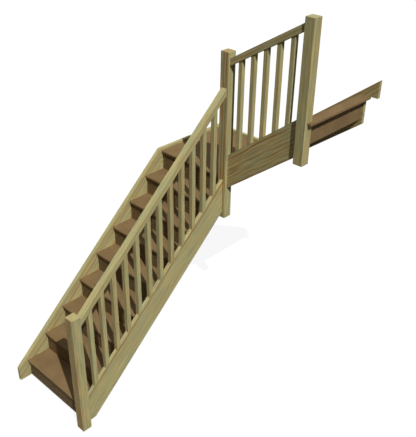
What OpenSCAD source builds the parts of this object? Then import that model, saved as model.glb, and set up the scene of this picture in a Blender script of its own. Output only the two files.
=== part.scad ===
// Quarter-landing staircase: closed strings, square newels and plain square spindles.
// The lower flight climbs along +Y against a wall at X = 0. A square landing turns it to the
// right, and a short upper flight climbs along +X against a wall behind it.
// Origin: on the wall face, at floor level, below the front edge of the first tread.

/* [Flights] */
// Width of a flight over the outer faces of its two strings
flight_w = 900; // [780:5:1100]
// Height of the first step above the floor
first_rise = 188; // [160:1:215]
// Height of every other step
rise = 200; // [170:1:215]
// Going of the lower flight, from nosing to nosing
going = 223; // [215:0.5:280]
// Going of the upper flight, from nosing to nosing
upper_going = 260; // [235:0.5:300]
// Distance of the upper flight's first nosing past the middle of the landing newel
upper_set = 16; // [0:1:40]

/* [Treads and risers] */
// Thickness of a tread, of the landing and of the top nosing
tread_t = 22; // [18:1:32]
// Thickness of a riser board
riser_t = 12; // [6:1:18]
// How far a tread stands out past the face of the riser under it
nosing = 18; // [10:1:25]
// Depth to which treads and risers are let into the strings
housing = 12; // [6:1:16]
// Width of the nosing board at the upper floor
top_nosing_w = 98; // [90:1:150]

/* [Strings] */
// Thickness of a string board
string_t = 35; // [28:1:45]
// Depth of the lower flight's strings and of the landing strings, square to their edges
string_w = 252; // [235:1:300]
// Depth of the upper flight's strings, square to their edges
upper_string_w = 265; // [250:1:310]
// Height of the lower strings' top edge above the nosings, square to the pitch
string_margin = 33; // [20:1:50]
// Height of the upper strings' top edge above the nosings, square to the pitch
upper_margin = 26; // [20:1:50]
// Height of the landing strings above the landing
landing_margin = 25; // [15:1:50]
// Length of the wall string in front of the first nosing
string_foot = 100; // [60:1:160]
// Length of the upper wall string behind the last riser, below the upper floor
string_back = 15; // [5:1:40]
// Length of its head past that end, above the upper floor
string_head = 122; // [80:1:180]

/* [Newels] */
// Side of a square newel post
newel_w = 90; // [75:1:110]
// Top of the bottom newel above the floor
bottom_newel_h = 1193; // [1100:1:1300]
// Depth of the bottom newel below the floor
bottom_newel_sunk = 50; // [20:1:120]
// Top of the landing newel above the landing
landing_newel_h = 1191; // [1120:1:1300]
// Length of the landing newel below the landing
landing_newel_drop = 393; // [340:1:500]
// Top of the top newel above the upper floor
top_newel_h = 817; // [790:1:950]
// Length of the top newel below the upper floor
top_newel_drop = 372; // [330:1:480]

/* [Balustrade] */
// Top of the lower handrail above the nosings, measured upright
rail_h = 918; // [880:1:960]
// Width of a handrail
rail_w = 59; // [45:1:70]
// Depth of a handrail, square to its run
rail_d = 55; // [40:1:70]
// Drop of the upper handrail's top below the top of the landing newel
upper_rail_low = 52; // [10:1:80]
// Drop of the upper handrail's top below the top of the top newel
upper_rail_high = 48; // [10:1:90]
// Side of a square spindle
spindle_w = 40; // [25:1:45]

/* [Hidden] */
// Steps of each flight: the lower one ends at the landing, the upper one at the upper floor
lower_treads = 8;
upper_treads = 3;
lower_risers = lower_treads + 1;
all_risers = lower_risers + upper_treads + 1;
lower_spindle_count = 12;
upper_spindle_count = 5;

pine = "#B3A676";
board = "#8A6D4C";

// Levels
landing_z = first_rise + lower_treads * rise;
floor_z = landing_z + (upper_treads + 1) * rise;
landing_top = landing_z + landing_margin;

// Lines in plan
outer_x = flight_w - string_t / 2;
turn_y = lower_treads * going;
back_y = turn_y - string_t / 2 + flight_w;
upper_start = outer_x + upper_set;
last_nose = upper_start + upper_treads * upper_going;
top_x = last_nose + nosing;
cut_x = top_x + riser_t + string_back;
head_x = cut_x + string_head;
half_newel = newel_w / 2;

// Pitch of each flight, and the upright sizes that follow from it
lower_pitch = atan(rise / going);
upper_pitch = atan(rise / upper_going);
lower_above = string_margin / cos(lower_pitch);
lower_below = (string_w - string_margin) / cos(lower_pitch);
upper_above = upper_margin / cos(upper_pitch);
upper_below = (upper_string_w - upper_margin) / cos(upper_pitch);

// Where the raking strings meet the level landing strings
joint_y = (landing_top - lower_above - first_rise) * going / rise;
joint_x = upper_start + (landing_top - upper_above - landing_z - rise) * upper_going / rise;

// Height of the line through the nosings of each flight
function nose_z(y) = first_rise + y * rise / going;
function upper_nose_z(x) = landing_z + rise + (x - upper_start) * rise / upper_going;

// Underside of each handrail: the lower one follows the pitch, the upper one runs from
// near the top of the landing newel to near the top of the top newel
lower_rail_drop = rail_d / cos(lower_pitch);
rail_low_x = outer_x + half_newel;
rail_high_x = top_x - half_newel;
rail_low_z = landing_z + landing_newel_h - upper_rail_low;
rail_high_z = floor_z + top_newel_h - upper_rail_high;
rail_slope = (rail_high_z - rail_low_z) / (rail_high_x - rail_low_x);
upper_rail_drop = rail_d / cos(atan(rail_slope));
function rail_z(y) = nose_z(y) + rail_h;
function upper_rail_z(x) = rail_low_z + (x - rail_low_x) * rail_slope;

// A profile drawn in Y and Z, w thick along X from x
module across_x(x, w) {
    translate([x, 0, 0]) rotate([90, 0, 90]) linear_extrude(w) children();
}

// A profile drawn in X and Z, w thick along Y from y
module across_y(y, w) {
    translate([0, y + w, 0]) rotate([90, 0, 0]) linear_extrude(w) children();
}

// A block between two corners
module block(low, high) {
    translate(low) cube(high - low);
}

// The plain shape of a newel, centred at x and y
module post(x, y, low, high) {
    block([x - half_newel, y - half_newel, low], [x + half_newel, y + half_newel, high]);
}

module bottom_post() post(outer_x, 0, -bottom_newel_sunk, bottom_newel_h);

module landing_post() {
    post(outer_x, turn_y, landing_z - landing_newel_drop, landing_z + landing_newel_h);
}

module top_post() post(top_x, turn_y, floor_z - top_newel_drop, floor_z + top_newel_h);

// Ends of the boards that cross each flight, let into the strings on both sides
lower_ends = [string_t - housing, flight_w - string_t + housing];
upper_ends = [turn_y + string_t / 2 - housing, back_y - string_t + housing];

// Tread i of the lower flight, counted from the floor
module lower_tread(i) {
    front = (i - 1) * going;
    top = first_rise + (i - 1) * rise;
    block([lower_ends[0], front, top - tread_t], [lower_ends[1], front + going + nosing, top]);
}

// Riser i of the lower flight stands on the floor or behind the tread below it
module lower_riser(i) {
    front = (i - 1) * going + nosing;
    top = first_rise + (i - 1) * rise - tread_t;
    foot = i == 1 ? 0 : top - rise;
    block([lower_ends[0], front, foot], [lower_ends[1], front + riser_t, top]);
}

// Tread i of the upper flight, counted from the landing
module upper_tread(i) {
    front = upper_start + (i - 1) * upper_going;
    top = landing_z + i * rise;
    block([front, upper_ends[0], top - tread_t], [front + upper_going + nosing, upper_ends[1], top]);
}

// Riser i of the upper flight, counted from the landing
module upper_riser(i) {
    front = upper_start + (i - 1) * upper_going + nosing;
    top = landing_z + i * rise - tread_t;
    block([front, upper_ends[0], top - rise], [front + riser_t, upper_ends[1], top]);
}

module landing_slab() {
    far_x = upper_start + nosing;
    block([lower_ends[0], turn_y, landing_z - tread_t], [far_x, upper_ends[1], landing_z]);
}

// The top nosing also laps the outer face line of the outer string, past the newel
module nosing_strip() {
    near_y = turn_y - string_t / 2;
    back_x = last_nose + top_nosing_w;
    block([last_nose, near_y, floor_z - tread_t], [back_x, upper_ends[1], floor_z]);
}

// Every board that crosses a flight, as the trenches in the strings have it
module all_steps() {
    for (i = [1 : lower_treads]) lower_tread(i);
    for (i = [1 : lower_risers]) lower_riser(i);
    landing_slab();
    for (i = [1 : upper_treads]) upper_tread(i);
    for (i = [1 : upper_treads + 1]) upper_riser(i);
    nosing_strip();
}

// A board cut round the newels that it meets
module round_newels() {
    difference() {
        children();
        bottom_post();
        landing_post();
        top_post();
    }
}

// A string with its trenches
module trenched() {
    difference() {
        children();
        all_steps();
    }
}

module lower_wall_string() color(pine) trenched() across_x(0, string_t) polygon([
    [-string_foot, 0],
    [(lower_below - first_rise) * going / rise, 0],
    [joint_y, nose_z(joint_y) - lower_below],
    [joint_y, landing_top],
    [-string_foot, nose_z(-string_foot) + lower_above]
]);

module landing_side_string() color(pine) trenched() {
    block([0, joint_y, landing_top - string_w], [string_t, back_y, landing_top]);
}

module landing_back_string() color(pine) trenched() {
    block([string_t, back_y - string_t, landing_top - string_w], [joint_x, back_y, landing_top]);
}

module upper_wall_string() color(pine) trenched() across_y(back_y - string_t, string_t) polygon([
    [joint_x, upper_nose_z(joint_x) - upper_below],
    [cut_x, upper_nose_z(cut_x) - upper_below],
    [cut_x, floor_z],
    [head_x, floor_z],
    [head_x, upper_nose_z(head_x) + upper_above],
    [joint_x, landing_top]
]);

module lower_outer_string() color(pine) trenched() across_x(flight_w - string_t, string_t) polygon([
    [half_newel, 0],
    [(lower_below - first_rise) * going / rise, 0],
    [turn_y - half_newel, nose_z(turn_y - half_newel) - lower_below],
    [turn_y - half_newel, nose_z(turn_y - half_newel) + lower_above],
    [half_newel, nose_z(half_newel) + lower_above]
]);

module upper_outer_string() color(pine) trenched() across_y(turn_y - string_t / 2, string_t) polygon([
    [rail_low_x, upper_nose_z(rail_low_x) - upper_below],
    [rail_high_x, upper_nose_z(rail_high_x) - upper_below],
    [rail_high_x, upper_nose_z(rail_high_x) + upper_above],
    [rail_low_x, upper_nose_z(rail_low_x) + upper_above]
]);

module bottom_newel() color(pine) bottom_post();
module landing_newel() color(pine) landing_post();
module top_newel() color(pine) top_post();

module lower_handrail() color(pine) across_x(outer_x - rail_w / 2, rail_w) polygon([
    [half_newel, rail_z(half_newel) - lower_rail_drop],
    [turn_y - half_newel, rail_z(turn_y - half_newel) - lower_rail_drop],
    [turn_y - half_newel, rail_z(turn_y - half_newel)],
    [half_newel, rail_z(half_newel)]
]);

module upper_handrail() color(pine) across_y(turn_y - rail_w / 2, rail_w) polygon([
    [rail_low_x, upper_rail_z(rail_low_x) - upper_rail_drop],
    [rail_high_x, upper_rail_z(rail_high_x) - upper_rail_drop],
    [rail_high_x, upper_rail_z(rail_high_x)],
    [rail_low_x, upper_rail_z(rail_low_x)]
]);

// Spindles stand on the string at equal gaps and are cut to the rake at both ends
module lower_spindles() {
    gap = (turn_y - newel_w - lower_spindle_count * spindle_w) / (lower_spindle_count + 1);
    color(pine) across_x(outer_x - spindle_w / 2, spindle_w) for (i = [1 : lower_spindle_count]) {
        near = half_newel + i * gap + (i - 1) * spindle_w;
        far = near + spindle_w;
        polygon([
            [near, nose_z(near) + lower_above],
            [far, nose_z(far) + lower_above],
            [far, rail_z(far) - lower_rail_drop],
            [near, rail_z(near) - lower_rail_drop]
        ]);
    }
}

module upper_spindles() {
    run = rail_high_x - rail_low_x;
    gap = (run - upper_spindle_count * spindle_w) / (upper_spindle_count + 1);
    color(pine) across_y(turn_y - spindle_w / 2, spindle_w) for (i = [1 : upper_spindle_count]) {
        near = rail_low_x + i * gap + (i - 1) * spindle_w;
        far = near + spindle_w;
        polygon([
            [near, upper_nose_z(near) + upper_above],
            [far, upper_nose_z(far) + upper_above],
            [far, upper_rail_z(far) - upper_rail_drop],
            [near, upper_rail_z(near) - upper_rail_drop]
        ]);
    }
}

module landing_board() color(board) round_newels() landing_slab();
module top_nosing() color(board) round_newels() nosing_strip();

// Treads and risers are numbered from the floor: the landing is the ninth step
module tread(i) {
    color(board) round_newels() {
        if (i <= lower_treads) lower_tread(i);
        else upper_tread(i - lower_risers);
    }
}

module riser(i) {
    color(board) round_newels() {
        if (i <= lower_risers) lower_riser(i);
        else upper_riser(i - lower_risers);
    }
}

lower_wall_string();
landing_side_string();
landing_back_string();
upper_wall_string();
lower_outer_string();
upper_outer_string();
bottom_newel();
landing_newel();
top_newel();
lower_handrail();
upper_handrail();
lower_spindles();
upper_spindles();
landing_board();
top_nosing();
for (i = [1 : lower_treads]) tread(i);
for (i = [1 : upper_treads]) {
    tread(lower_risers + i);
}
for (i = [1 : all_risers]) riser(i);
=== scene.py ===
# Quarter-landing staircase in planed pine, with fibreboard treads and risers, on a white studio floor.
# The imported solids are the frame: every piece here stands where its solid stands.
import math

import bmesh
import bpy
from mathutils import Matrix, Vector


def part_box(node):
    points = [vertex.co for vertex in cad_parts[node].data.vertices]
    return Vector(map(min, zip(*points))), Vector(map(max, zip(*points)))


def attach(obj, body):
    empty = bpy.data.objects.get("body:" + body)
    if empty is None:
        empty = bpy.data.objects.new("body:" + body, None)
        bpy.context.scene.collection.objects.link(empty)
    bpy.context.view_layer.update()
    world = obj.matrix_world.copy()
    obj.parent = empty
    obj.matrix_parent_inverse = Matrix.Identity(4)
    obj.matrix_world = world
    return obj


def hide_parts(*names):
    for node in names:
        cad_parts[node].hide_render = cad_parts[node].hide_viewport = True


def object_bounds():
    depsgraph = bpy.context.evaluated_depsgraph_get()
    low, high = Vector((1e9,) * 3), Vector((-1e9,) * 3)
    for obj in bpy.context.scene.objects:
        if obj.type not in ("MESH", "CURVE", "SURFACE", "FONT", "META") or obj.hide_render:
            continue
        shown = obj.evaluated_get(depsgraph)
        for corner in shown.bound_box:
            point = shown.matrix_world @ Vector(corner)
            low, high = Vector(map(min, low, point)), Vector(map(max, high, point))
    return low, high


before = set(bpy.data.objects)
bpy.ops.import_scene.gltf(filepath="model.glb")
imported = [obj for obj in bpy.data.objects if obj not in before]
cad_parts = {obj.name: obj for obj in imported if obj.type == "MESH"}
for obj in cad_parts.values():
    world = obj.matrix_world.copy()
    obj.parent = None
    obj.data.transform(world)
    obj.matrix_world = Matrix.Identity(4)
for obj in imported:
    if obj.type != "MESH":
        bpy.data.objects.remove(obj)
cad_low, cad_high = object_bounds()


# Strings
# Six planed pine boards carry the steps: two wall strings, two landing strings and two outer strings.
# Each is sawn flat, so long growth rings run down its face, and its outer arrises are eased.
def linear(code):
    """An sRGB hex colour as the linear RGBA that a shader takes."""
    parts = [int(code[i:i + 2], 16) / 255 for i in (1, 3, 5)]
    return (*[c / 12.92 if c <= 0.04045 else ((c + 0.055) / 1.055) ** 2.4 for c in parts], 1.0)


def add(tree, kind, inputs, **settings):
    """Adds a node to a tree, with its settings, and its inputs set or linked."""
    made = tree.nodes.new(kind)
    for name, value in settings.items():
        setattr(made, name, value)
    for name, value in inputs.items():
        if isinstance(value, bpy.types.NodeSocket):
            tree.links.new(value, made.inputs[name])
        else:
            made.inputs[name].default_value = value
    return made


# Planed softwood, a little weathered: a matt straw ground with grey-green bands, orange-brown latewood
# lines and fine fibres along the grain. A piece's "grain" attribute holds the distance along the board
# and the two distances from the heart of the tree, in metres. Its "board" attribute holds the board's
# number, how far its rings sway and how far apart they are, in metres.
pine = bpy.data.materials.new("planed_pine")
pine.use_nodes = True
tree = pine.node_tree
surface = tree.nodes["Principled BSDF"]
PINE_STRAW = "#BCB079"
PINE_GREY = "#ACAC81"
PINE_LATEWOOD = "#A06432"
PINE_IOR = 1.5
PINE_ROUGHEST = 0.72
PINE_SMOOTHEST = 0.58
MATT_SPECULAR = 0.1
# How often a ring sways in a metre: once in about 330 mm along the board, and in 100 mm across it.
RING_SWAYS = (3.0, 10.0, 10.0)
# In each ring the latewood darkens slowly and ends sharply. About a third of the rings are faint, and
# one in ten is at full strength.
LATE_STARTS = 0.30
LATE_FULL = 0.66
LATE_ENDS = 0.92
FAINT_RINGS = 0.35
FULL_RINGS = 0.90
FAINTEST = 0.06
# How many grey bands lie in a metre: each is about 250 mm long and 40 mm wide. The rings fade in them.
GREY_BANDS = (4.0, 24.0, 24.0)
BAND_STARTS = 0.38
BAND_FADES = 0.62
BAND_FULL = 0.70
LEFT_IN_BAND = 0.55
# Real rings are 4 to 8 mm apart. These are drawn coarse so that they show, two to a gap, one of them weak.
RINGS_IN_GAP = 2.0
WEAK_STARTS = 0.4
WEAK_FULL = 0.95
WEAK_STRENGTH = 0.20
# Real fibres are far finer than a millimetre: these are drawn as coarse as they need to show.
FIBRE_WIDTH = 0.009
FIBRE_LENGTH = 0.200
FIBRE_DARK = 0.77
FIBRE_PALE = 1.20
FIBRE_BUMP = 0.25
FIBRE_RELIEF = 0.0006
# A noise stays nearly always between these two levels.
NOISE_LOW = 0.3
NOISE_HIGH = 0.7
# A mix of two colours takes them at inputs 6 and 7, and gives its colour at output 2.
COLOUR_A = 6
COLOUR_B = 7
COLOUR_OUT = 2
grain = add(tree, "ShaderNodeAttribute", {}, attribute_name="grain").outputs["Vector"]
board = add(tree, "ShaderNodeAttribute", {}, attribute_name="board").outputs["Vector"]
cut = add(tree, "ShaderNodeSeparateXYZ", {0: board})
slow = add(tree, "ShaderNodeVectorMath", {0: grain, 1: RING_SWAYS}, operation="MULTIPLY")
wander = add(tree, "ShaderNodeTexNoise", {"Vector": slow.outputs[0], "Scale": 1.0, "Detail": 2.0})
sway = add(tree, "ShaderNodeMath", {0: wander.outputs[0], 1: cut.outputs["Y"]}, operation="MULTIPLY")
spokes = add(tree, "ShaderNodeVectorMath", {0: grain, 1: (0.0, 1.0, 1.0)}, operation="MULTIPLY")
radius = add(tree, "ShaderNodeVectorMath", {0: spokes.outputs[0]}, operation="LENGTH")
bent = add(tree, "ShaderNodeMath", {0: radius.outputs["Value"], 1: sway.outputs[0]}, operation="ADD")
rings = add(tree, "ShaderNodeMath", {0: bent.outputs[0], 1: cut.outputs["Z"]}, operation="DIVIDE")
phase = add(tree, "ShaderNodeMath", {0: rings.outputs[0]}, operation="FRACT")
number = add(tree, "ShaderNodeMath", {0: rings.outputs[0]}, operation="FLOOR")
late = add(tree, "ShaderNodeValToRGB", {"Fac": phase.outputs[0]})
late.color_ramp.elements[0].position = LATE_STARTS
late.color_ramp.elements[0].color = linear("#000000")
late.color_ramp.elements[1].position = LATE_FULL
late.color_ramp.elements[1].color = linear("#FFFFFF")
late.color_ramp.elements.new(LATE_ENDS).color = linear("#FFFFFF")
late.color_ramp.elements.new(1.0).color = linear("#000000")
board_name = add(tree, "ShaderNodeMath", {0: cut.outputs["X"]}, operation="ROUND")
ring_name = add(tree, "ShaderNodeCombineXYZ", {0: number.outputs[0], 1: board_name.outputs[0]})
vigour = add(
    tree, "ShaderNodeTexWhiteNoise", {"Vector": ring_name.outputs[0]}, noise_dimensions="2D")
strength = add(
    tree, "ShaderNodeMapRange",
    {"Value": vigour.outputs["Value"], "From Min": FAINT_RINGS, "From Max": FULL_RINGS, "To Min": FAINTEST})
broad = add(tree, "ShaderNodeVectorMath", {0: grain, 1: GREY_BANDS}, operation="MULTIPLY")
band = add(tree, "ShaderNodeTexNoise", {"Vector": broad.outputs[0], "Scale": 1.0, "Detail": 3.0})
faded = add(
    tree, "ShaderNodeMapRange",
    {"Value": band.outputs[0], "From Min": BAND_STARTS, "From Max": BAND_FADES,
     "To Min": 1.0, "To Max": LEFT_IN_BAND})
darkness = add(
    tree, "ShaderNodeMath", {0: strength.outputs[0], 1: faded.outputs[0]}, operation="MULTIPLY")
strong = add(
    tree, "ShaderNodeMath", {0: late.outputs["Color"], 1: darkness.outputs[0]}, operation="MULTIPLY")
years = add(tree, "ShaderNodeMath", {0: rings.outputs[0], 1: RINGS_IN_GAP}, operation="MULTIPLY")
year = add(tree, "ShaderNodeMath", {0: years.outputs[0]}, operation="FRACT")
weak = add(
    tree, "ShaderNodeMapRange",
    {"Value": year.outputs[0], "From Min": WEAK_STARTS, "From Max": WEAK_FULL, "To Max": WEAK_STRENGTH})
line = add(tree, "ShaderNodeMath", {0: strong.outputs[0], 1: weak.outputs[0]}, operation="MAXIMUM")
greyed = add(
    tree, "ShaderNodeMapRange",
    {"Value": band.outputs[0], "From Min": BAND_STARTS, "From Max": BAND_FULL})
fine = add(
    tree, "ShaderNodeVectorMath",
    {0: grain, 1: (1 / FIBRE_LENGTH, 1 / FIBRE_WIDTH, 1 / FIBRE_WIDTH)}, operation="MULTIPLY")
fibre = add(tree, "ShaderNodeTexNoise", {"Vector": fine.outputs[0], "Scale": 1.0, "Detail": 3.0})
ground = add(
    tree, "ShaderNodeMix",
    {0: greyed.outputs[0], COLOUR_A: linear(PINE_STRAW), COLOUR_B: linear(PINE_GREY)}, data_type="RGBA")
ringed = add(
    tree, "ShaderNodeMix",
    {0: line.outputs[0], COLOUR_A: ground.outputs[COLOUR_OUT], COLOUR_B: linear(PINE_LATEWOOD)},
    data_type="RGBA")
shade = add(
    tree, "ShaderNodeMapRange",
    {"Value": fibre.outputs[0], "From Min": NOISE_LOW, "From Max": NOISE_HIGH,
     "To Min": FIBRE_DARK, "To Max": FIBRE_PALE})
tinted = add(
    tree, "ShaderNodeVectorMath",
    {0: ringed.outputs[COLOUR_OUT], 1: shade.outputs[0]}, operation="MULTIPLY")
rough = add(
    tree, "ShaderNodeMapRange",
    {"Value": fibre.outputs[0], "From Min": NOISE_LOW, "From Max": NOISE_HIGH,
     "To Min": PINE_ROUGHEST, "To Max": PINE_SMOOTHEST})
relief = add(
    tree, "ShaderNodeBump",
    {"Height": fibre.outputs[0], "Strength": FIBRE_BUMP, "Distance": FIBRE_RELIEF})
tree.links.new(tinted.outputs[0], surface.inputs["Base Color"])
tree.links.new(rough.outputs[0], surface.inputs["Roughness"])
tree.links.new(relief.outputs[0], surface.inputs["Normal"])
surface.inputs["IOR"].default_value = PINE_IOR
surface.inputs["Specular IOR Level"].default_value = MATT_SPECULAR

STRING_ARRIS = 0.002
ARRIS_STEPS = 2
# Points this close are the same point, faces this near to one plane are one face, and a point this
# little before a face still lies on it.
SAME_POINT = 0.00001
SAME_PLANE = math.radians(0.5)
ON_FACE = 0.0001


def alone(piece):
    """Leaves one object selected and active."""
    bpy.ops.object.select_all(action="DESELECT")
    piece.select_set(True)
    bpy.context.view_layer.objects.active = piece


def ease(piece, chosen, width, steps):
    """Rounds over the edges of a piece that a test picks from its edit mesh."""
    alone(piece)
    bpy.ops.object.mode_set(mode="EDIT")
    bpy.ops.mesh.select_mode(type="EDGE")
    bpy.ops.mesh.select_all(action="DESELECT")
    mesh = bmesh.from_edit_mesh(piece.data)
    mesh.normal_update()
    for edge in mesh.edges:
        edge.select_set(chosen(mesh, edge))
    bmesh.update_edit_mesh(piece.data)
    bpy.ops.mesh.bevel(offset=width, segments=steps, profile=0.5, affect="EDGES")
    bpy.ops.object.mode_set(mode="OBJECT")
    bpy.ops.object.shade_flat()


def outer(mesh, face):
    """True if the whole board lies behind a face, so that the face isn't in a trench or notch."""
    reach = face.verts[0].co.dot(face.normal) + ON_FACE
    return all(v.co.dot(face.normal) < reach for v in mesh.verts)


def arris(mesh, edge):
    """True for an edge between two outer faces of a board."""
    faces = edge.link_faces
    return len(faces) == 2 and all(outer(mesh, f) for f in faces)


def board_from(node, name, width):
    """A copy of a CAD board with its triangles joined up and its outer arrises eased."""
    piece = bpy.data.objects.new(name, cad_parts[node].data.copy())
    bpy.context.scene.collection.objects.link(piece)
    piece.data.materials.clear()
    alone(piece)
    bpy.ops.mesh.customdata_custom_splitnormals_clear()
    bpy.ops.object.mode_set(mode="EDIT")
    bpy.ops.mesh.select_all(action="SELECT")
    bpy.ops.mesh.remove_doubles(threshold=SAME_POINT)
    bpy.ops.mesh.dissolve_limited(angle_limit=SAME_PLANE)
    bpy.ops.object.mode_set(mode="OBJECT")
    ease(piece, arris, width, ARRIS_STEPS)
    return piece


def lay_grain(piece, start, along, across, heart, lean, board):
    """Writes how a piece was cut from its tree: the run of its grain and where the heart lies.

    The board's number also shifts its pattern along the grain, so that no two boards are alike.
    """
    through = along.cross(across)
    held = piece.data.attributes.new("grain", "FLOAT_VECTOR", "POINT")
    told = piece.data.attributes.new("board", "FLOAT_VECTOR", "POINT")
    for vertex in piece.data.vertices:
        out = vertex.co - start
        run = out.dot(along)
        held.data[vertex.index].vector = (
            run + board[0], out.dot(across) - heart[0], out.dot(through) - heart[1] - lean * run)
        told.data[vertex.index].vector = board


def stand_for(piece, node, material):
    """Gives a finished piece its material and its place in the frame, and hides the solid that it stands
    for.
    """
    piece.data.materials.append(material)
    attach(piece, "root")
    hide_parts(node)


RISE = 0.200
LOWER_GOING = 0.223
UPPER_GOING = 0.260
LOWER_PITCH = math.atan2(RISE, LOWER_GOING)
UPPER_PITCH = math.atan2(RISE, UPPER_GOING)
up_lower = Vector((0, math.cos(LOWER_PITCH), math.sin(LOWER_PITCH)))
square_lower = Vector((0, -math.sin(LOWER_PITCH), math.cos(LOWER_PITCH)))
up_upper = Vector((math.cos(UPPER_PITCH), 0, math.sin(UPPER_PITCH)))
square_upper = Vector((-math.sin(UPPER_PITCH), 0, math.cos(UPPER_PITCH)))
level_x = Vector((1, 0, 0))
level_y = Vector((0, 1, 0))
plumb = Vector((0, 0, 1))
RING_GAP = 0.027
# For each string: a point on its centre line, the run of its grain and the way its width lies, the
# heart's place from that point, how far the heart leans over a metre, and its number, sway and ring gap.
# A board's number picks which of its rings are strong.
string_cuts = {
    "lower_wall_string":
        ((0.017, 0.062, 0.119), up_lower, square_lower, (0.0, -0.06), 0.004, (34, 0.020, RING_GAP)),
    "landing_side_string":
        ((0.017, 2.100, 1.687), level_y, plumb, (0.0, -0.06), 0.006, (12, 0.030, RING_GAP)),
    "landing_back_string":
        ((0.300, 2.649, 1.687), level_x, plumb, (0.0, -0.06), 0.006, (85, 0.030, RING_GAP)),
    "upper_wall_string":
        ((0.899, 2.649, 1.853), up_upper, square_upper, (0.0, -0.06), 0.010, (13, 0.030, RING_GAP)),
    "lower_outer_string":
        ((0.883, 0.062, 0.119), up_lower, square_lower, (-0.041, 0.0501), 0.012, (605, 0.030, 0.046)),
    "upper_outer_string":
        ((0.963, 1.784, 1.853), up_upper, square_upper, (0.029, 0.0115), 0.005, (1962, 0.065, 0.0303)),
}
for node, (start, along, across, heart, lean, board) in string_cuts.items():
    string = board_from(node, f"{node}_pine", STRING_ARRIS)
    lay_grain(string, Vector(start), along, across, heart, lean, board)
    stand_for(string, node, pine)


# Newels
# Three square pine posts: the bottom one runs down past the floor, and the other two end as drops
# below the strings that they carry. Tops are cut flat, and all the edges are eased.
NEWEL_ARRIS = 0.003


def bar(name, centre, size):
    """A square-cut bar, with its place in its mesh."""
    bpy.ops.object.select_all(action="DESELECT")
    bpy.ops.mesh.primitive_cube_add(size=1, location=centre, scale=size)
    made = bpy.context.object
    made.name = made.data.name = name
    bpy.ops.object.transform_apply(location=True, rotation=True, scale=True)
    return made


# For each newel: the heart's place from its middle, its lean, and its number, sway and ring gap.
newel_cuts = {
    "bottom_newel": ((-0.020, 0.100), 0.002, (399, 0.012, RING_GAP)),
    "landing_newel": ((-0.088, 0.010), -0.006, (464, 0.012, RING_GAP)),
    "top_newel": ((-0.0786, 0.013), 0.006, (153, 0.012, RING_GAP)),
}
for node, (heart, lean, board) in newel_cuts.items():
    low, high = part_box(node)
    newel = bar(f"{node}_pine", (low + high) / 2, high - low)
    ease(newel, lambda mesh, edge: True, NEWEL_ARRIS, ARRIS_STEPS)
    lay_grain(newel, (low + high) / 2, plumb, level_x, heart, lean, board)
    stand_for(newel, node, pine)


# Handrails
# Two straight pine rails between the newels, with plumb cuts at both ends. They are square in section,
# and their long edges are just rounded over for the hand.
RAIL_ROUND = 0.003
RAIL_STEPS = 3
NEARLY_PARALLEL = 0.99


def end_heights(node, axis):
    """The heights of a raked rail's corners, at its near and at its far end."""
    low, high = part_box(node)
    middle = (low[axis] + high[axis]) / 2
    points = [v.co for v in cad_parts[node].data.vertices]
    near = [p.z for p in points if p[axis] < middle]
    far = [p.z for p in points if p[axis] > middle]
    return near, far


def raise_far_end(piece, axis, rise):
    """Lifts the far end of a bar so that it rakes, and leaves its two ends plumb."""
    alone(piece)
    bpy.ops.object.mode_set(mode="EDIT")
    bpy.ops.mesh.select_mode(type="VERT")
    bpy.ops.mesh.select_all(action="DESELECT")
    mesh = bmesh.from_edit_mesh(piece.data)
    middle = sum(v.co[axis] for v in mesh.verts) / len(mesh.verts)
    for vertex in mesh.verts:
        vertex.select_set(vertex.co[axis] > middle)
    mesh.select_flush_mode()
    bmesh.update_edit_mesh(piece.data)
    bpy.ops.transform.translate(value=(0, 0, rise))
    bpy.ops.object.mode_set(mode="OBJECT")


def runs(edge, way):
    """True for an edge that runs along a direction."""
    return abs((edge.verts[1].co - edge.verts[0].co).normalized().dot(way)) > NEARLY_PARALLEL


# For each rail: the axis that it runs along in plan, the heart's place from the point below its middle
# that is level with its near end, its lean, and its number, sway and ring gap.
rail_cuts = {
    "lower_handrail": (1, (0.02, 0.094), 0.0, (2878, 0.014, RING_GAP)),
    "upper_handrail": (0, (0.02, -0.094), 0.0, (13, 0.010, RING_GAP)),
}
for node, (axis, heart, lean, board) in rail_cuts.items():
    low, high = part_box(node)
    near, far = end_heights(node, axis)
    climb = max(far) - max(near)
    size = high - low
    size.z = max(near) - min(near)
    centre = (low + high) / 2
    centre.z = (max(near) + min(near)) / 2
    rail = bar(f"{node}_pine", centre, size)
    raise_far_end(rail, axis, climb)
    along = Vector((0, 0, climb))
    along[axis] = high[axis] - low[axis]
    along.normalize()
    ease(rail, lambda mesh, edge: runs(edge, along), RAIL_ROUND, RAIL_STEPS)
    side = Vector((0, 0, 0))
    side[1 - axis] = 1
    lay_grain(rail, centre, along, along.cross(side), heart, lean, board)
    stand_for(rail, node, pine)


# Spindles
# Plain square pine spindles stand on the outer strings at equal gaps. One is modelled for each flight,
# with both ends cut to the rake and its corners just broken, and the others in its row are copies.
SPINDLE_W = 0.040
SPINDLE_ARRIS = 0.002
# Boards by these numbers have faint rings. The spindles are sawn from several places in the tree, so the
# heart lies a step further off in the next one, over four steps one way and three the other.
PLAIN_BOARDS = (7, 12, 8, 23, 27, 34, 55, 57)
FIRST_HEART = -0.06
HEART_STEP = 0.013
HEART_STEPS = 4
DEPTH_STEP = 0.010
DEPTH_STEPS = 3
SPINDLE_LEAN = 0.006
SPINDLE_SWAY = 0.010
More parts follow.
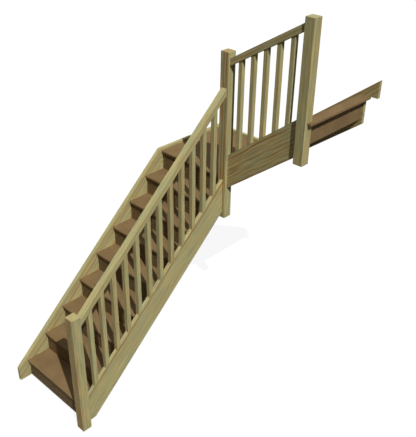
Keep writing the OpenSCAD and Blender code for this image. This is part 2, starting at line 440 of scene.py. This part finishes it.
# For each row: the axis that it runs along, how many spindles, the rail over them and the string's rake.
spindle_rows = {
    "lower_spindles": (1, 12, "lower_handrail", RISE / LOWER_GOING),
    "upper_spindles": (0, 5, "upper_handrail", RISE / UPPER_GOING),
}
for node, (axis, count, rail_node, foot_rake) in spindle_rows.items():
    low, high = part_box(node)
    rail_low, rail_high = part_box(rail_node)
    near, far = end_heights(rail_node, axis)
    head_rake = (min(far) - min(near)) / (rail_high[axis] - rail_low[axis])
    step = (high[axis] - low[axis] - SPINDLE_W) / (count - 1)
    foot = low.z
    head = min(near) + (low[axis] - rail_low[axis]) * head_rake
    centre = (low + high) / 2
    centre[axis] = low[axis] + SPINDLE_W / 2
    centre.z = (foot + head) / 2
    first = bar(f"{node}_pine", centre, (SPINDLE_W, SPINDLE_W, head - foot))
    for vertex in first.data.vertices:
        if vertex.co[axis] > centre[axis]:
            vertex.co.z += SPINDLE_W * (head_rake if vertex.co.z > centre.z else foot_rake)
    ease(first, lambda mesh, edge: runs(edge, plumb), SPINDLE_ARRIS, ARRIS_STEPS)
    row = [first]
    for i in range(1, count):
        spindle = bpy.data.objects.new(f"{node}_copy", first.data.copy())
        bpy.context.scene.collection.objects.link(spindle)
        for vertex in spindle.data.vertices:
            vertex.co.z += i * step * (head_rake if vertex.co.z > centre.z else foot_rake)
            vertex.co[axis] += i * step
        row.append(spindle)
    for i, spindle in enumerate(row):
        middle = centre.copy()
        middle[axis] += i * step
        heart = (FIRST_HEART + HEART_STEP * (i % HEART_STEPS), DEPTH_STEP * (i % DEPTH_STEPS))
        board = (PLAIN_BOARDS[i % len(PLAIN_BOARDS)], SPINDLE_SWAY, RING_GAP)
        lay_grain(spindle, middle, plumb, level_x, heart, SPINDLE_LEAN, board)
    bpy.ops.object.select_all(action="DESELECT")
    for spindle in row:
        spindle.select_set(True)
    bpy.context.view_layer.objects.active = first
    bpy.ops.object.join()
    stand_for(first, node, pine)


# Treads, landing and top nosing
# Boards of medium-density fibreboard, let into the strings, with their edges rounded over a little.
# The landing is one board, and the top nosing laps the floor above.
fibreboard = bpy.data.materials.new("sanded_fibreboard")
fibreboard.use_nodes = True
tree = fibreboard.node_tree
surface = tree.nodes["Principled BSDF"]
# Pressed wood fibre, sanded: a dry, even brown with soft clouds and short pale and dark flecks.
BOARD_BROWN = "#786142"
BOARD_PALE = "#89714E"
# Real fibres are under a millimetre wide: the flecks are drawn as coarse as they need to show.
FLECK_SIZE = 0.007
FLECK_SHARE = 0.45
CLOUD_SIZE = 0.160
BROWN_LEVEL = 0.36
PALE_LEVEL = 0.64
BOARD_SMOOTHEST = 0.68
BOARD_ROUGHEST = 0.80
NAP_BUMP = 0.2
NAP_RELIEF = 0.0004
place = add(tree, "ShaderNodeTexCoord", {}).outputs["Object"]
cloud = add(tree, "ShaderNodeTexNoise", {"Vector": place, "Scale": 1 / CLOUD_SIZE, "Detail": 3.0})
fleck = add(tree, "ShaderNodeTexNoise", {"Vector": place, "Scale": 1 / FLECK_SIZE, "Detail": 2.0})
both = add(
    tree, "ShaderNodeMix",
    {0: FLECK_SHARE, 2: cloud.outputs[0], 3: fleck.outputs[0]}, data_type="FLOAT")
blend = add(
    tree, "ShaderNodeMapRange",
    {"Value": both.outputs[0], "From Min": BROWN_LEVEL, "From Max": PALE_LEVEL})
brown = add(
    tree, "ShaderNodeMix",
    {0: blend.outputs[0], COLOUR_A: linear(BOARD_BROWN), COLOUR_B: linear(BOARD_PALE)}, data_type="RGBA")
dry = add(
    tree, "ShaderNodeMapRange",
    {"Value": fleck.outputs[0], "From Min": NOISE_LOW, "From Max": NOISE_HIGH,
     "To Min": BOARD_SMOOTHEST, "To Max": BOARD_ROUGHEST})
nap = add(
    tree, "ShaderNodeBump",
    {"Height": fleck.outputs[0], "Strength": NAP_BUMP, "Distance": NAP_RELIEF})
tree.links.new(brown.outputs[COLOUR_OUT], surface.inputs["Base Color"])
tree.links.new(dry.outputs[0], surface.inputs["Roughness"])
tree.links.new(nap.outputs[0], surface.inputs["Normal"])
surface.inputs["Specular IOR Level"].default_value = MATT_SPECULAR
TREAD_ROUND = 0.003
# The landing is the ninth step and the nosing the thirteenth.
TREADS = (1, 2, 3, 4, 5, 6, 7, 8, 10, 11, 12)
for node in ["landing_board", "top_nosing"] + [f"tread_{i}" for i in TREADS]:
    tread = board_from(node, f"{node}_fibreboard", TREAD_ROUND)
    stand_for(tread, node, fibreboard)


# Risers
# Thin fibreboard panels between the treads, set back under each nosing and let into the strings.
# Their edges are left as sawn, only just broken.
RISER_ARRIS = 0.0008
# The lower flight's panels are drawn darker than the treads, with coarser flecks: the darkening is painted
# shade, set to match how dimly their fronts are shaded. The upper flight's have the treads' own colour.
SHADED_RISER_BROWN = "#5A4830"
SHADED_RISER_PALE = "#856E4B"
RISER_FLECK_SIZE = 0.014
RISER_FLECK_SHARE = 0.85
RISERS = 13
LOWER_RISERS = 9
# A copy of the tread board in darker colours: painted shade for the lower flight's riser fronts.
shaded_riser_board = fibreboard.copy()
shaded_riser_board.name = "riser_fibreboard_painted_shade"
shaded_riser_nodes = shaded_riser_board.node_tree.nodes
shaded_riser_nodes[brown.name].inputs[COLOUR_A].default_value = linear(SHADED_RISER_BROWN)
shaded_riser_nodes[brown.name].inputs[COLOUR_B].default_value = linear(SHADED_RISER_PALE)
shaded_riser_nodes[fleck.name].inputs["Scale"].default_value = 1 / RISER_FLECK_SIZE
shaded_riser_nodes[both.name].inputs[0].default_value = RISER_FLECK_SHARE
# Risers 1 to 9 take the board with painted shade, and the others the plain tread board.
for i in range(1, RISERS + 1):
    riser = board_from(f"riser_{i}", f"riser_{i}_fibreboard", RISER_ARRIS)
    stand_for(riser, f"riser_{i}", shaded_riser_board if i <= LOWER_RISERS else fibreboard)


# Floor
# A plain pale studio floor at the foot of the bottom newel. The camera sees it as white paper with
# a faint shadow, and the stair gets its soft bounce.
def in_view(tree):
    """Gives 1 where the ground is seen, in a mirror or through glass too, and 0 where it only lights."""
    ray = add(tree, "ShaderNodeLightPath", {})
    direct = add(
        tree, "ShaderNodeMath",
        {0: ray.outputs["Is Camera Ray"], 1: ray.outputs["Is Glossy Ray"]}, operation="MAXIMUM")
    seen = add(
        tree, "ShaderNodeMath",
        {0: direct.outputs[0], 1: ray.outputs["Is Transmission Ray"]}, operation="MAXIMUM")
    return seen.outputs[0]


# Matt white paper: it glows nearly white, and a lamp adds the rest, so its shadow stays faint.
floor_paint = bpy.data.materials.new("white_studio_floor")
floor_paint.use_nodes = True
tree = floor_paint.node_tree
tree.nodes.clear()
FLOOR_BOUNCE = 0.12
FLOOR_GLOW = 0.90
FLOOR_SHADOW = 0.12
FLOOR_SIZE = 120
FLOOR_MIDDLE = (1, 1)
FLOOR_GAP = 0.0005
seen = in_view(tree)
bounce = add(tree, "ShaderNodeEmission", {"Strength": FLOOR_BOUNCE})
shadowed = add(tree, "ShaderNodeBsdfDiffuse", {"Color": (FLOOR_SHADOW, FLOOR_SHADOW, FLOOR_SHADOW, 1)})
glow = add(tree, "ShaderNodeEmission", {"Strength": FLOOR_GLOW})
paper = add(tree, "ShaderNodeAddShader", {0: shadowed.outputs[0], 1: glow.outputs[0]})
floor_mix = add(
    tree, "ShaderNodeMixShader", {0: seen, 1: bounce.outputs[0], 2: paper.outputs[0]})
add(tree, "ShaderNodeOutputMaterial", {"Surface": floor_mix.outputs[0]})
bpy.ops.object.select_all(action="DESELECT")
bpy.ops.mesh.primitive_plane_add(size=FLOOR_SIZE, location=(*FLOOR_MIDDLE, cad_low.z - FLOOR_GAP))
floor = bpy.context.object
floor.name = floor.data.name = "studio_floor"
floor.data.materials.append(floor_paint)


# Light
# One lamp high on the right gives the clear shadows. A soft box overhead and a pale screen behind
# the stair fill them.
LAMP_HEIGHT = math.radians(50)
LAMP_TURN = math.radians(-23)
LAMP_STRENGTH = 3.2
LAMP_WIDTH = math.radians(0.3)
lamp = bpy.data.lights.new("key_lamp", "SUN")
lamp.energy = LAMP_STRENGTH
lamp.angle = LAMP_WIDTH
lamp_object = bpy.data.objects.new("key_lamp", lamp)
lamp_object.rotation_euler = (0, math.pi / 2 - LAMP_HEIGHT, LAMP_TURN)
bpy.context.scene.collection.objects.link(lamp_object)
# The soft box and the screen are strongest in their middle, and have faded out where the cosine of the
# angle from there is down to their edge value.
OVERHEAD = 0.50
OVERHEAD_EDGE = 0.5
BEHIND = 0.30
BEHIND_EDGE = 0.3
BEHIND_WAY = (-0.70, 0.70, 0.12)
room = bpy.data.worlds.new("pale_room")
bpy.context.scene.world = room
room.use_nodes = True
tree = room.node_tree
tree.nodes.clear()
seen = in_view(tree)
way = add(tree, "ShaderNodeTexCoord", {}).outputs["Generated"]
above = add(tree, "ShaderNodeVectorMath", {0: way, 1: (0, 0, 1)}, operation="DOT_PRODUCT")
behind = add(tree, "ShaderNodeVectorMath", {0: way, 1: BEHIND_WAY}, operation="DOT_PRODUCT")
softbox = add(
    tree, "ShaderNodeMapRange",
    {"Value": above.outputs["Value"], "From Min": OVERHEAD_EDGE, "To Max": OVERHEAD})
screen = add(
    tree, "ShaderNodeMapRange",
    {"Value": behind.outputs["Value"], "From Min": BEHIND_EDGE, "To Max": BEHIND})
filled = add(tree, "ShaderNodeMath", {0: softbox.outputs[0], 1: screen.outputs[0]}, operation="ADD")
fill = add(
    tree, "ShaderNodeBackground", {"Color": linear("#FFFFFF"), "Strength": filled.outputs[0]})
white = add(tree, "ShaderNodeBackground", {"Color": linear("#FFFFFF"), "Strength": 1.0})
either = add(tree, "ShaderNodeMixShader", {0: seen, 1: fill.outputs[0], 2: white.outputs[0]})
add(tree, "ShaderNodeOutputWorld", {"Surface": either.outputs[0]})


# Camera
# It stands in front and to the right, above the upper floor, and looks down on both flights.
# Its lens and shift come from the picture's size, its focal length and its middle, in pixels.
PICTURE_W = 416
PICTURE_H = 437
FOCAL_PIXELS = 663.1
MIDDLE_X = 201.35
MIDDLE_Y = 214.21
CAMERA_PLACE = (4.4757, -2.2959, 4.5870)
CAMERA_TURN = (59.609, -0.543, 43.910)
camera = bpy.data.cameras.new("camera")
camera.lens = camera.sensor_width * FOCAL_PIXELS / PICTURE_H
camera.shift_x = (PICTURE_W / 2 - MIDDLE_X) / PICTURE_H
camera.shift_y = (MIDDLE_Y - PICTURE_H / 2) / PICTURE_H
camera_object = bpy.data.objects.new("camera", camera)
camera_object.location = CAMERA_PLACE
camera_object.rotation_euler = [math.radians(turn) for turn in CAMERA_TURN]
bpy.context.scene.collection.objects.link(camera_object)
bpy.context.scene.camera = camera_object
bpy.context.scene.view_settings.view_transform = "Standard"
